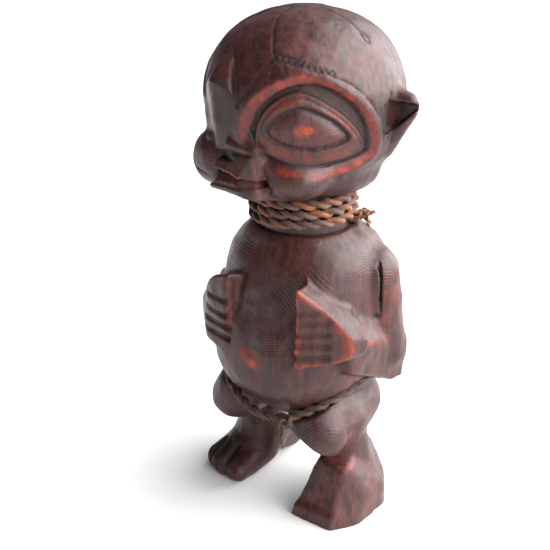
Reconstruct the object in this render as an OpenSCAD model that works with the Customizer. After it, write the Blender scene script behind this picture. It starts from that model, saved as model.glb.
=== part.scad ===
// Carved standing figure with a large head, hands laid on a round belly and bent
// knees. One laid cord is wound round the neck and another lies under the belly.
// Millimetres, +Z up. The figure faces -Y and its left hand is on +X.

/* [Head] */
// Width of the head at the temples
head_w = 64; // [62:1:68]
// Depth of the head from forehead to nape
head_l = 67; // [65:1:70]
// Height of the head from jaw to crown
head_h = 62; // [58:1:64]
// Squareness of the head, where 2 is an ellipsoid
head_square = 2.2; // [2:0.05:2.5]
// Turn of the head towards the figure's right, in degrees
head_turn = 15; // [0:1:18]
// Reach of the nose in front of the head's axis
muzzle_reach = 38; // [37:0.5:39.5]
// Reach of the ear tips from the head's axis
ear_reach = 41.5; // [40:0.5:45]
// Depth of the eye sockets below the brow
socket_depth = 2.6; // [1.5:0.1:3.5]

/* [Neck and body] */
// Height of the crown above the soles
crown_z = 181; // [179:1:184]
// Diameter of the neck
neck_d = 32; // [29:1:33]
// Width of the belly
belly_w = 60; // [56:1:62]
// Depth of the belly, front to back
belly_l = 61; // [57:1:64]
// Width over the two elbows
elbow_w = 72; // [70:1:75]
// Width of the gaps between the fingers
finger_gap = 0.9; // [0.6:0.1:1.4]

/* [Legs and feet] */
// Width over the outsides of the two heels
stance_w = 70; // [66:1:74]
// Length of the sole
sole_l = 44; // [40:1:48]
// Clear width between the soles
sole_gap = 27; // [22:1:30]

/* [Cords] */
// Diameter of the laid cord
cord_d = 3.3; // [2.8:0.1:3.3]
// Turns of the cord round the neck
neck_turns = 3; // [2:1:3]
// Rise of the neck cord in one turn
neck_pitch = 3.4; // [3.4:0.05:3.6]
// Clearance between a cord and the wood
seat_gap = 0.1; // [0.1:0.01:0.2]

/* [Hidden] */

head_z = crown_z - head_h / 2;
neck_r = neck_d / 2;
cord_r = cord_d / 2;
ball_fn = 14;
cord_sides = 8;

// The helix round the neck, by height and angle
neck_cord_r = neck_r + seat_gap + cord_r;
neck_cord_z = 109.1;
neck_cord_start = 118;
ring_step = 12;

// Power that squares the trunk's level rings a little, where 1 is an ellipse
trunk_round = 0.87;

// The loop under the belly, as an ellipse that rises towards the back
hip_r = [27.4, 27.8];
hip_y = 0.4;
hip_front_z = 43.6;
hip_rise = 12.5;
hip_sag = 4.2;
hip_sag_turn = 25;

// The eye's place round the head, measured from the face's middle
eye_turn = 57;
eye_z = head_z - 5;
ear_turn = 124;
eye_wall = (head_w + head_l) / 4 + 1;

// Middle of the whole object's box, from the neck's axis
box_mid = [1.91, -2.74];

// The knot at the left rear of the neck and the one under the front of the belly
neck_knot_turn = 126;
neck_knot_r = cord_r * 1.4;
neck_knot_at = [(neck_cord_r + 1.75 * cord_r) * sin(neck_knot_turn),
    -(neck_cord_r + 1.75 * cord_r) * cos(neck_knot_turn), neck_cord_z + 1.3];
hip_knot_turn = 30;
hip_knot_r = cord_r * 1.45;
hip_knot_at = hip_point(hip_knot_turn) + [0.8, -2.2, -1.2];
neck_tail_r = 0.7;
hip_tail_r = 0.9;

wood_dark = [0.27, 0.15, 0.14];
cord_brown = [0.42, 0.24, 0.16];

// ---- helpers ----

function unit(v) = v / norm(v);
function signed_pow(v, e) = sign(v) * pow(abs(v), e);

// A closed skin over rings of points that turn anticlockwise seen along the path
module skin(rings, loop = false) {
    count = len(rings);
    sides = len(rings[0]);
    last = loop ? count - 1 : count - 2;
    walls = [for (i = [0:last], j = [0:sides - 1])
        let (k = (i + 1) % count, m = (j + 1) % sides)
        [i * sides + j, k * sides + j, k * sides + m, i * sides + m]];
    caps = loop ? [] : [
        [for (j = [0:sides - 1]) j],
        [for (j = [sides - 1:-1:0]) (count - 1) * sides + j]];
    polyhedron(points = [for (r = rings) each r], faces = concat(walls, caps));
}

// A ring of points across a cord at p, where the cord runs along dir
function cord_ring(p, dir, r) =
    let (across = unit(cross([0, 0, 1], dir)), up = cross(dir, across))
    [for (j = [0:cord_sides - 1])
        let (a = 360 * j / cord_sides)
        p + r * (cos(a) * across + sin(a) * up)];

function path_dir(path, i) =
    unit(path[min(i + 1, len(path) - 1)] - path[max(i - 1, 0)]);

module cord(path, r) {
    skin([for (i = [0:len(path) - 1]) cord_ring(path[i], path_dir(path, i), r)]);
}

module ball(p, r) {
    translate(p) sphere(r, $fn = ball_fn);
}

module egg(p, r) {
    translate(p) scale(r) sphere(1, $fn = 24);
}

module limb(a, b, ra, rb) {
    hull() {
        ball(a, ra);
        ball(b, rb);
    }
}

module both_sides() {
    children();
    mirror([1, 0, 0]) children();
}

// ---- head ----

module skull() {
    e = 2 / head_square;
    r = [head_w, head_l, head_h] / 2;
    rings = [for (lat = [-85:10:85])
        let (flat = pow(cos(lat), e))
        [for (t = [0:9:351]) [
            r.x * flat * signed_pow(cos(t), e),
            r.y * flat * signed_pow(sin(t), e),
            r.z * signed_pow(sin(lat), e)]]];
    translate([0, 0, head_z]) skin(rings);
}

module eye_socket() {
    rotate([0, 0, eye_turn]) translate([0, -eye_wall - 4, eye_z + 1])
        scale([24, 4 + socket_depth, 14.5]) sphere(1, $fn = 24);
}

module eyeball() {
    rotate([0, 0, eye_turn]) translate([0, -eye_wall + 5, eye_z])
        scale([16.5, 5.5, 6]) sphere(1, $fn = 24);
    rotate([0, 0, eye_turn]) translate([0, -eye_wall, eye_z])
        rotate([90, 0, 0]) cylinder(h = 2, r = 2.2, center = true, $fn = 16);
}

module nose() {
    tip_y = -muzzle_reach;
    hull() {
        ball([0, tip_y + 9, head_z + 17], 2);
        ball([0, tip_y + 4.5, head_z + 10], 3);
        both_sides() {
            ball([6, tip_y + 7.5, head_z + 14], 2);
            ball([7.5, tip_y + 6, head_z - 3], 2);
            ball([12, tip_y + 5, head_z - 12], 2);
        }
        ball([0, tip_y + 4.4, head_z - 10.5], 2);
    }
}

module muzzle() {
    front_y = -muzzle_reach + 5.5;
    hull() both_sides() {
        ball([12.5, front_y, head_z - 13], 4.5);
        ball([12, front_y + 0.5, head_z - 17.5], 4.5);
        ball([10.5, front_y + 3, head_z - 24.5], 4);
        ball([14, -17, head_z - 14], 6);
        ball([9, -13, head_z - 23], 6);
    }
}

// The open mouth is a long lens-shaped slot across the muzzle
module mouth_slot() {
    egg([0, -muzzle_reach + 2.5, head_z - 20.3], [14, 6, 1.9]);
}

module ear() {
    rotate([0, 0, ear_turn]) difference() {
        hull() {
            ball([0, -28.5, head_z + 7], 3);
            ball([0, -28.5, head_z - 9], 3);
            ball([-1.5, -ear_reach + 2, head_z + 1], 2);
        }
        translate([-6, -36, head_z + 0.5]) scale([1, 1, 1.3]) sphere(5.2, $fn = 16);
    }
}

module head() {
    rotate([0, 0, -head_turn]) difference() {
        union() {
            difference() {
                skull();
                both_sides() eye_socket();
            }
            both_sides() {
                eyeball();
                ear();
            }
            muzzle();
            nose();
        }
        mouth_slot();
    }
}

// ---- neck, body and arms ----

module neck() {
    translate([0, 0, 100]) cylinder(h = head_z - 120, r = neck_r, $fn = 48);
}

// Level rings of the trunk: height, half width, half depth and middle
module trunk() {
    w = belly_w / 2;
    l = belly_l / 2;
    levels = [
        [38, w * 0.54, l * 0.54, 1], [43, w * 0.70, l * 0.73, 0.5],
        [48, w * 0.84, l * 0.87, 0], [55, w * 0.95, l * 0.97, -1],
        [63, w, l * 0.98, -1.5], [73, w * 1.01, l * 0.95, -0.5],
        [82, w * 1.01, l * 0.92, 1.5], [90, w * 0.99, l * 0.89, 2.5],
        [97, w * 0.93, l * 0.83, 3], [102.5, w * 0.81, l * 0.73, 2.5],
        [106, w * 0.67, l * 0.63, 1], [108.6, neck_r + 0.4, neck_r + 0.4, 0]];
    skin([for (q = levels) [for (t = [0:9:351]) [
        q[1] * signed_pow(cos(t), trunk_round),
        q[3] + q[2] * signed_pow(sin(t), trunk_round), q[0]]]]);
}

module arm() {
    elbow = [elbow_w / 2 - 8.5, 13, 59.5];
    limb([24, 11.5, 92], elbow, 10, 8);
    hull() {
        ball(elbow, 7.6);
        ball([elbow_w / 2 - 7.5, 10, 66], 6);
        ball([27, -10, 68], 7);
        ball([26.5, -9, 74], 5);
    }
}

// The hand is a flat block on the belly with the fingers pointing inwards
module hand() {
    difference() {
        hull() {
            ball([17.5, -24, 87], 2.5);
            ball([18.5, -26.5, 65], 2.5);
            ball([24, -20.5, 85], 3);
            ball([28, -14, 77], 5);
            ball([28, -14, 67], 5);
            ball([18, -16, 76], 8);
        }
        for (i = [1:4]) translate([17, -26.5, 63.5 + 4.9 * i])
            rotate([0, 0, 38]) scale([9.5, 4.2, finger_gap]) sphere(1, $fn = 14);
    }
}

module navel() {
    egg([0, -belly_l / 2 - 1.8, 66], [3.4, 2.6, 4.2]);
}

// ---- legs and feet ----

module leg() {
    hull() {
        ball([12.5, 6, 48], 13);
        ball([16.5, 9, 39], 11.5);
        ball([18.5, -12.5, 38.5], 10.4);
        ball([21.3, -14.2, 35], 9.6);
        ball([21.5, -2, 36], 9.6);
    }
    limb([20.5, -2, 32], [21.5, 3, 14], 9, 9.5);
}

module foot() {
    inner = sole_gap / 2;
    outer = stance_w / 2;
    hull() {
        ball([inner + 4, -sole_l / 2 + 4, 2.5], 4);
        ball([outer - 5, -sole_l / 2 + 6, 3], 4.4);
        ball([outer - 3.6, -sole_l / 2 + 13, 3.5], 4.6);
        ball([outer - 7.5, 5, 5.5], 8);
        ball([inner + 9, sole_l / 2 - 6, 6], 8);
        ball([inner + 8, -1, 14.5], 7.5);
    }
}

module toe_gaps() {
    for (i = [0:2]) translate([-20.5 - 4.6 * i, -sole_l / 2 + 3, 5.5])
        rotate([0, 0, 8 - 5 * i]) scale([0.8, 7, 7]) sphere(1, $fn = 14);
}

// ---- the two cord routes ----

function neck_point(t) =
    [neck_cord_r * sin(t), -neck_cord_r * cos(t), neck_cord_z + neck_pitch * (t - neck_cord_start) / 360];
neck_route = [for (t = [neck_cord_start:ring_step:neck_cord_start + 360 * neck_turns]) neck_point(t)];

function hip_dip(t) = hip_sag * pow(max(cos(t - hip_sag_turn), 0), 6);
function hip_point(t) =
    [hip_r.x * sin(t), hip_y - hip_r.y * cos(t),
     hip_front_z + hip_rise * sqrt(0.02 + pow(sin(t / 2), 2)) - hip_dip(t)];
function hip_dir(t) = unit(hip_point(t + 1) - hip_point(t - 1));

module hip_loop(r) {
    skin([for (t = [0:7.5:352.5]) cord_ring(hip_point(t), hip_dir(t), r)], loop = true);
}

// Room for the neck cord: a straight-sided waist at the neck's own radius
module neck_seat() {
    half = cord_r + seat_gap;
    bottom = neck_cord_z - half;
    height = neck_pitch * neck_turns + 2 * half;
    translate([0, 0, bottom]) difference() {
        cylinder(h = height, r = neck_r + 6, $fn = 48);
        translate([0, 0, -1]) cylinder(h = height + 2, r = neck_r, $fn = 48);
    }
}

// ---- nodes ----

module placed() {
    translate([-box_mid.x, -box_mid.y, 0]) children();
}

module carved_figure() {
    color(wood_dark) placed() difference() {
        union() {
            head();
            neck();
            trunk();
            both_sides() {
                arm();
                hand();
                leg();
                foot();
            }
        }
        navel();
        toe_gaps();
        neck_seat();
        hip_loop(cord_r + seat_gap);
        ball(hip_knot_at, hip_knot_r + seat_gap);
        translate([0, 0, -20]) cube([200, 200, 40], center = true);
    }
}

module neck_cord() {
    color(cord_brown) placed() cord(neck_route, cord_r);
}

module neck_cord_knot() {
    color(cord_brown) placed() difference() {
        ball(neck_knot_at, neck_knot_r);
        cord(neck_route, cord_r + seat_gap);
    }
}

module neck_cord_tail_left() {
    start = neck_knot_at + [2.2, 0.9, 0.6];
    color(cord_brown) placed()
        cord([start, start + [2.4, 1.2, 0.4], start + [4.6, 2.6, 1.6]], neck_tail_r);
}

module neck_cord_tail_right() {
    start = neck_knot_at + [2.45, 0, -1.15];
    color(cord_brown) placed()
        cord([start, start + [1.4, -1.2, -0.8], start + [2.2, -3, -1]], neck_tail_r);
}

module hip_cord() {
    color(cord_brown) placed() hip_loop(cord_r);
}

module hip_cord_knot() {
    color(cord_brown) placed() difference() {
        ball(hip_knot_at, hip_knot_r);
        hip_loop(cord_r + seat_gap);
    }
}

module hip_cord_tail() {
    start = hip_knot_at + [-0.6, -2.4, -1.7];
    color(cord_brown) placed()
        cord([start, start + [-0.6, -0.9, -2.4], start + [-0.8, -0.9, -5.4]], hip_tail_r);
}

carved_figure();
neck_cord();
neck_cord_knot();
neck_cord_tail_left();
neck_cord_tail_right();
hip_cord();
hip_cord_knot();
hip_cord_tail();
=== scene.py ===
import math

import bmesh
import bpy
import numpy as np
import openvdb
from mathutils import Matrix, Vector


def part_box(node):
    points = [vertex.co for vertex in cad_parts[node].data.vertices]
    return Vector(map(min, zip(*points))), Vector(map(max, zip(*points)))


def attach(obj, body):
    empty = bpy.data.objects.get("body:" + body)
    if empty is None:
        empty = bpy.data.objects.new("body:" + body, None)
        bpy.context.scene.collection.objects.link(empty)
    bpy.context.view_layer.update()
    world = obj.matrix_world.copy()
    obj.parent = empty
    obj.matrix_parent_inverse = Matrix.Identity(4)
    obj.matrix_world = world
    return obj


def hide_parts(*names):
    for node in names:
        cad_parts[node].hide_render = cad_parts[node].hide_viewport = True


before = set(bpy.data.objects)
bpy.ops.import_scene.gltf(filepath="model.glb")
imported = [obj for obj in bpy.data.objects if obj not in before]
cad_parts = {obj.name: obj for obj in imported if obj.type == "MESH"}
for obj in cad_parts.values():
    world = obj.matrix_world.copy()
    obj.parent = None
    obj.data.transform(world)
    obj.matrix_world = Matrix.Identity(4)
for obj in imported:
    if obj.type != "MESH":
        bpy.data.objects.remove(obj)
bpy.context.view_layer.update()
neckLow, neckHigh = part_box("neck_cord")
neckX = (neckLow.x + neckHigh.x) / 2  # the neck stands here, and the sculpting is done around it in mm
neckY = (neckLow.y + neckHigh.y) / 2
neckMiddle = (neckLow.z + neckHigh.z) / 2 * 1000
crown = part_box("carved_figure")[1].z * 1000


def toFrame(x, y, z):
    return Vector((neckX + x / 1000, neckY + y / 1000, z / 1000))


def vec(*values):
    return np.array(values, np.float32)


def lengthOf(v):
    return np.sqrt(np.einsum("ij,ij->i", v, v))


def softMin(a, b, soften):
    mix = np.clip(0.5 + 0.5 * (b - a) / soften, 0, 1)
    return b + (a - b) * mix - soften * mix * (1 - mix)


def softMax(a, b, soften):
    return -softMin(-a, -b, soften)


def turned(p, degrees):
    c, s = math.cos(math.radians(degrees)), math.sin(math.radians(degrees))
    return p @ np.array([[c, s, 0], [-s, c, 0], [0, 0, 1]], np.float32)


def egg(p, middle, radii, power=2.0):
    q = np.abs(p - vec(*middle)) / vec(*radii)
    size = (q**power).sum(1) ** (1 / power)
    rate = lengthOf((q / np.maximum(size, 1e-4)[:, None]) ** (power - 1) / vec(*radii))
    return (size - 1) / np.maximum(rate, 1e-4)


def limb(p, a, b, ra, rb):
    a, b = vec(*a), vec(*b)
    along = b - a
    t = np.clip((p - a) @ along / (along @ along), 0, 1)
    return lengthOf(p - a - t[:, None] * along) - (ra + (rb - ra) * t)


def plate(p, a, b, c, thick):  # a flat triangle with round edges
    a, b, c = vec(*a), vec(*b), vec(*c)
    normal = np.cross(b - a, a - c)
    inside = np.ones(len(p), bool)
    best = np.full(len(p), 1e9, np.float32)
    for start, end in ((a, b), (b, c), (c, a)):
        edge, q = end - start, p - start
        inside &= q @ np.cross(edge, normal) >= 0
        t = np.clip(q @ edge / (edge @ edge), 0, 1)
        best = np.minimum(best, lengthOf(q - t[:, None] * edge))
    flat = np.abs((p - a) @ normal) / math.sqrt(normal @ normal)
    return np.where(inside, flat, best) - thick


def facets(p, planes, soften):  # what is left inside a few knife cuts, each a point and an outward direction
    d = None
    for point, outward in planes:
        outward = vec(*outward) / math.sqrt(sum(v * v for v in outward))
        side = (p - vec(*point)) @ outward
        d = side if d is None else softMax(d, side, soften)
    return d


def nearTo(p, middle, reach):
    q = p - vec(*middle)
    return np.nonzero(np.einsum("ij,ij->i", q, q) < reach * reach)[0]


def add(d, p, middle, reach, form, soften):
    near = nearTo(p, middle, reach)
    if len(near):
        d[near] = softMin(d[near], form(p[near]), soften)


def cut(d, p, middle, reach, form, soften):
    near = nearTo(p, middle, reach)
    if len(near):
        d[near] = softMax(d[near], -form(p[near]), soften)


def smoothPath(points, perSpan=5):  # a curve through the points
    pts = [np.array(q, float) for q in points]
    pts = [2 * pts[0] - pts[1]] + pts + [2 * pts[-1] - pts[-2]]
    path = []
    for a, b, c, d in zip(pts, pts[1:], pts[2:], pts[3:]):
        for i in range(perSpan):
            t = i / perSpan
            path.append(
                0.5 * (2 * b + (c - a) * t + (2 * a - 5 * b + 4 * c - d) * t * t + (3 * b - a - 3 * c + d) * t**3)
            )
    path.append(pts[-2])
    return [tuple(q) for q in path]


def pathDistance(p, path):
    best = np.full(len(p), 1e9, np.float32)
    for start, end in zip(path, path[1:]):
        start, edge = vec(*start), vec(*end) - vec(*start)
        q = p - start
        t = np.clip(q @ edge / max(float(edge @ edge), 1e-6), 0, 1)
        best = np.minimum(best, lengthOf(q - t[:, None] * edge))
    return best


def incise(d, p, path, width, depth):  # a line cut along a path; a negative depth raises it
    middle = np.mean(np.array(path), axis=0)
    reach = max(math.dist(middle, q) for q in path) + 3 * width
    near = nearTo(p, middle, reach)
    if len(near):
        away = pathDistance(p[near], path)
        d[near] += depth * np.exp(-((away / (width / 2)) ** 2))


head = {
    "turn": 15,  # degrees that the face looks towards the figure's right
    "middle": (0, 0, crown - 31),
    "radii": (32, 33.5, 31),
    "power": 2.2,
    "mapStep": 0.25,
    "wallRadius": 33,
}
eyeArches = {  # two corners, in degrees round from the nose and mm up, then the upper and the lower arch between them
    "rimOuter": ((18, 146), (103, 138), (21.2, 0.46, 1.65, 1.8), (-11.6, 0.4, 2.0, 1.6)),
    "rimInner": ((22, 141), (98, 139.5), (20.3, 0.47, 1.95, 1.75), (-5.7, 0.5, 1.8, 1.8)),
    "lid": ((26, 142.5), (96, 139.5), (17.2, 0.38, 1.85, 1.4), (-5.8, 0.4, 2.1, 1.7)),
    "ball": ((33, 146), (83, 143.5), (9.2, 0.42, 1.55, 1.4), (-4.4, 0.42, 1.85, 1.6)),
}
archSteps = 24
pupil = {"turn": 56.5, "height": 147, "ring": 1.9}
eyeDepths = {"brow": 0.5, "rimFoot": -1.5, "socket": -2.5, "lid": -1.35, "ballEdge": -2.6, "ballSwell": 1.7}


def arch(start, end, rise, crest, fullBefore, fullAfter):  # the fullness is 1 for straight, 2 for an oval
    points = []
    for i in range(archSteps + 1):
        t = (1 - math.cos(math.pi * i / archSteps)) / 2
        share, full = ((crest - t) / crest, fullBefore) if t < crest else ((t - crest) / (1 - crest), fullAfter)
        lift = rise * max(1 - share**full, 0) ** (1 / full)
        points.append((start[0] + (end[0] - start[0]) * t, start[1] + (end[1] - start[1]) * t + lift))
    return points


def outlineDistance(u, z, outline):
    best = np.full(u.shape, 1e9)
    inside = np.zeros(u.shape, bool)
    for (u0, z0), (u1, z1) in zip(outline, outline[1:] + outline[:1]):
        du, dz = u1 - u0, z1 - z0
        t = np.clip(((u - u0) * du + (z - z0) * dz) / max(du * du + dz * dz, 1e-9), 0, 1)
        best = np.minimum(best, (u - u0 - t * du) ** 2 + (z - z0 - t * dz) ** 2)
        if z0 != z1:
            inside ^= ((z0 > z) != (z1 > z)) & (u < u0 + (z - z0) * du / dz)
    return np.where(inside, -1, 1) * np.sqrt(best)


def ramp(x, start, end):
    t = np.clip((x - start) / (end - start), 0, 1)
    return t * t * (3 - 2 * t)


def blurMap(values, passes):
    for _ in range(passes):
        wide = np.pad(values, 1, mode="edge")
        values = (wide[:-2, 1:-1] + wide[2:, 1:-1] + wide[1:-1, :-2] + wide[1:-1, 2:] + 2 * values) / 6
    return values


def makeEyeMap():
    perDegree = math.radians(1) * head["wallRadius"]
    u, z = np.meshgrid(np.arange(0, 68, head["mapStep"]), np.arange(122, 172, head["mapStep"]), indexing="ij")

    def between(start, end, upper, lower):
        outline = arch(start, end, *upper) + arch(start, end, *lower)[::-1]
        return outlineDistance(u, z, [(a * perDegree, b) for a, b in outline])

    rimOuter, rimInner, lid, ball = (between(*eyeArches[name]) for name in ("rimOuter", "rimInner", "lid", "ball"))
    depth = eyeDepths
    relief = depth["brow"] * (1 - ramp(rimOuter, 0, 4))
    slope = np.clip(-rimOuter / np.maximum(-rimOuter + rimInner, 0.2), 0, 1)
    relief = np.where(rimOuter < 0, depth["brow"] + (depth["rimFoot"] - depth["brow"]) * slope, relief)
    relief = np.where(rimInner < 0, depth["socket"], relief)
    relief = np.where(lid < 0, depth["lid"] + 0.25 * ramp(-lid, 0, 2), relief)
    swell = depth["ballSwell"] * (1 - np.exp(ball / 3.0))
    relief = np.where(ball < 0, depth["ballEdge"] + swell, relief)
    relief -= 0.5 * np.exp(-(((lid + 1.6) / 0.35) ** 2)) * (z > 140)  # a second line inside the upper lid
    pupilU, pupilZ = pupil["turn"] * perDegree, pupil["height"]
    ring = np.hypot(u - pupilU, z - pupilZ)
    relief -= 0.35 * np.exp(-(((ring - pupil["ring"]) / 0.4) ** 2))
    relief -= 0.3 * np.exp(-((ring / 0.5) ** 2))
    rim = (1 - ramp(np.abs(slope - 0.4), 0.25, 0.6)) * (rimOuter < 0.6) * (rimInner > -0.3)
    oval = np.hypot((u - pupilU + 1.2) / 1.6, z - pupilZ + 0.2)
    iris = 0.85 * (1 - ramp(oval, 0.8, 3.4)) * (ball < 0)
    below = 0.35 * (1 - ramp(np.abs(ball - 3), 0.5, 2.5)) * (z < 141)
    corner = np.where(z < 143, ramp(u / perDegree, 33, 42), 1)
    left = 0.72 + 0.28 * ramp(u / perDegree, 22, 45)
    lids = 0.26 * (rimInner < 0) * (ball > 0)
    worn = np.maximum(np.maximum(0.52 * rim * corner * left, iris), np.maximum(below, lids))
    # painted shade: the socket between the inner rim and the lid, and a thin line round the eyeball, are darkened
    dark = np.where((rimInner < 0) & (lid > -0.6), 1.0, 0.0)
    dark = np.maximum(dark, 1 - ramp(np.abs(ball), 0.3, 0.9))
    return blurMap(relief, 2), blurMap(worn, 2), blurMap(dark, 2)


eyeRelief, eyeWorn, eyePaintedShade = makeEyeMap()
print("eye sockets drawn")


def readMap(values, q):  # the map's value at points in the head's own frame
    around = np.abs(np.arctan2(q[:, 0], -q[:, 1])) * head["wallRadius"] / head["mapStep"]
    up = (q[:, 2] - 122) / head["mapStep"]
    rows, columns = values.shape
    i = np.clip(around, 0, rows - 2)
    j = np.clip(up, 0, columns - 2)
    i0, j0 = i.astype(int), j.astype(int)
    fi, fj = i - i0, j - j0
    value = (
        values[i0, j0] * (1 - fi) * (1 - fj)
        + values[i0 + 1, j0] * fi * (1 - fj)
        + values[i0, j0 + 1] * (1 - fi) * fj
        + values[i0 + 1, j0 + 1] * fi * fj
    )
    return np.where((around < rows - 2) & (up > 1) & (up < columns - 2), value, 0).astype(np.float32)


def onHead(degrees, z, proud=0.0):  # a point on the head's wall, in the head's frame
    power = head["power"]
    rx, ry, rz = (r + proud for r in head["radii"])
    s, c = math.sin(math.radians(degrees)), math.cos(math.radians(degrees))
    up = min(abs(z - head["middle"][2]) / rz, 0.999)
    ring = (abs(s) / rx) ** power + (abs(c) / ry) ** power
    r = (1 - up**power) ** (1 / power) / ring ** (1 / power)
    return (r * s, -r * c, z)


headLines = [  # from and to, in degrees round and mm up the wall, how the middle is bowed, and width and depth in mm
    ((3.5, 168.5), (17.5, 153.5), (3.5, 1), 1.2, 0.55),
    ((19, 154.5), (36.5, 168.5), (0, 1.2), 0.8, 0.35),
    ((21.5, 153.5), (42, 167), (0, 3.3), 0.8, 0.35),
    ((42, 167), (72, 163), (0, 0.5), 0.8, 0.35),
    ((71.5, 162.5), (101.5, 149), (0, 2.6), 0.8, 0.4),
    ((35.5, 168.5), (12.5, 180.5), (3, 1.2), 0.9, 0.45),
    ((98, 180.5), (105.5, 173.5), (2.5, 1.5), 0.9, 0.4),
    ((102, 151.5), (107.5, 141.5), (0, 0), 1.0, 0.5),
    ((106.5, 152.5), (112.5, 141), (0, 0), 1.0, 0.5),
    ((112.5, 155.5), (116.5, 140), (0, 0), 1.2, 0.7),
]
curls = {"from": 38.5, "to": 70, "count": 9, "rise": (168, 163.8), "radius": 1.15}
spirals = [(20, 170.5), (106.5, 172.5)]


def bowed(start, end, bow, steps=16):
    shares = [i / steps for i in range(steps + 1)]
    return [tuple(a + (b - a) * t + 4 * c * t * (1 - t) for a, b, c in zip(start, end, bow)) for t in shares]


def curlPath(degrees, z, radius, sweep, start=0.0):
    path = []
    for i in range(9):
        a = start + sweep * i / 8
        r = radius * (1 - 0.45 * i / 8)
        across = math.degrees(r * math.cos(a) / 31)
        path.append(onHead(degrees + across, z + r * math.sin(a)))
    return path


def headPaths():
    paths = []
    for start, end, bow, width, depth in headLines:
        paths.append(([onHead(a, z) for a, z in bowed(start, end, bow)], width, depth))
    for i in range(curls["count"]):
        t = i / (curls["count"] - 1)
        degrees = curls["from"] + (curls["to"] - curls["from"]) * t
        z = curls["rise"][0] + (curls["rise"][1] - curls["rise"][0]) * t
        paths.append((curlPath(degrees, z, curls["radius"], 5.2, 0.4 * i), 0.7, 0.4))
    for degrees, z in spirals:
        paths.append((curlPath(degrees, z, 2.1, 9.5), 0.75, 0.38))
    for i in range(7):  # stitches beside the crown line
        z = 157 + 1.7 * i
        degrees = 19.5 + 2.3 * i
        paths.append(([onHead(degrees, z), onHead(degrees + 2.2, z - 0.9)], 0.6, 0.3))
    return paths


incisedOnHead = headPaths()


def addHead(p, d):
    q = turned(p, head["turn"])
    wall = egg(q, head["middle"], head["radii"], head["power"])
    wall -= readMap(eyeRelief, q)
    both = q.copy()
    both[:, 0] = np.abs(q[:, 0])
    h = wall
    chin = egg(q, (0, 4, 127), (24, 22, 9), 2.0)  # the jaw runs down to the neck
    h = softMin(h, chin, 3.0)
    add(h, q, (17, -18, 130), 20, nearCheek, 4.0)
    add(h, q, (-9, -27, 132), 20, cheek, 2.0)
    add(h, q, (6, -27, 132), 24, muzzle, 0.5)
    cut(h, q, (2, -34, 137.7), 24, noseShadow, 0.5)
    add(h, both, (5, -30, 152), 26, nose, 0.5)
    low = nearTo(q, (0, -30, 129.6), 24)
    h[low] += mouthDepth(q[low])
    for line, width, depth in faceLines:
        incise(h, both, line, width, depth)
    incise(h, q, farMouth, 1.8, 0.9)
    for line, width, depth in incisedOnHead:
        incise(h, both, line, width, depth)
    add(h, both, onHead(122, 149), 24, ear, 1.6)
    cut(h, both, onHead(121, 147, 6), 12, earHollow, 0.5)
    d[:] = np.minimum(d, h)


def nose(q):
    blade = facets(
        q,
        [
            ((0, -36.4, 162), (0, -1, 0.10)),
            ((0, -36.3, 160.8), (0, -0.66, 0.75)),
            ((1.1, -35, 150), (0.348, -0.931, -0.106)),
            ((10.6, -31, 150), (1, 0, 0.45)),
            ((1.1, -36.2, 160), (0.47, -0.72, 0.52)),
            ((0, -33, 138.2), (0, 0.1, -1)),
            ((0, -22, 150), (0, 1, 0)),
        ],
        0.5,
    )
    wing = limb(q, (6, -32.2, 140.4), (14.6, -29.4, 139.4), 1.8, 1.4)
    wing = softMax(wing, 138.3 - q[:, 2], 0.4)
    return softMin(blade, wing, 1.6)


def noseShadow(q):  # the undercut between nose and lip
    return facets(
        q,
        [
            ((16.4, -30, 137), (1, 0, 0)),
            ((0.2, -30, 137), (-1, 0, 0)),
            ((0, -30, 138.2), (0, 0, 1)),
            ((0, -30, 135.0), (0.06, 0, -1)),
            ((0, -31.4, 137), (0.2, 1, 0)),
        ],
        0.3,
    )


def muzzle(q):
    return facets(
        q,
        [
            ((2, -35.2, 134.5), (0.18, -0.91, 0.36)),
            ((2, -37.6, 128.2), (0.24, -0.86, -0.45)),
            ((15.4, -30.6, 133), (0.8, -0.6, 0)),
            ((16.2, -28, 132), (1, 0.1, 0)),
            ((0.5, -35, 133), (-1, -0.1, 0.05)),
            ((0, -24, 122.6), (0, -0.25, -1)),
            ((0, -30, 138), (0, -0.1, 1)),
            ((0, -12, 132), (0, 1, 0)),
        ],
        0.6,
    )


def cheek(q):  # the full cheek on the side that the face turns to
    return egg(q, (-8.5, -26.8, 132.8), (10.5, 9.6, 9.6), 2.3)


def nearCheek(q):
    return egg(q, (17, -15.5, 129.8), (10.5, 10.5, 7.6))


mouth = {"middle": 129.6, "slope": -0.05, "height": 5.4, "corner": 17.4, "lower": 0.5, "upper": 2.2}


def mouthDepth(q):  # a lens between the lips, deepest under the upper one
    half = mouth["height"] / 2 * np.sqrt(np.clip(1 - (np.maximum(q[:, 0], 0) / mouth["corner"]) ** 2, 0, 1)) + 0.05
    up = (q[:, 2] - mouth["middle"] - mouth["slope"] * q[:, 0]) / (2 * half) + 0.5
    depth = mouth["lower"] + (mouth["upper"] - mouth["lower"]) * np.clip(up, 0, 1)
    return depth * ramp(up, 0, 0.15) * (1 - ramp(up, 0.92, 1.04)) * ramp(-q[:, 1], 22, 25) * ramp(q[:, 0], -0.6, 0.6)


faceLines = [  # in the head's frame, for both sides
    ([(0, -36.6, 161), (0, -35.4, 150), (0, -34.4, 140)], 1.0, 0.45),
    ([(16.2, -30.6, 137), (16.4, -28.6, 132), (17, -25.6, 127.5), (17, -21, 124)], 1.2, 0.6),
    ([(17.6, -30, 137), (17.8, -27.6, 132), (18.2, -24.6, 127.5)], 1.0, -0.35),
]


farMouth = [(0.5, -35.6, 129.2), (-5, -35.6, 128.8), (-11, -34.9, 129), (-15.5, -32, 130), (-17.6, -28.6, 131.2)]


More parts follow.
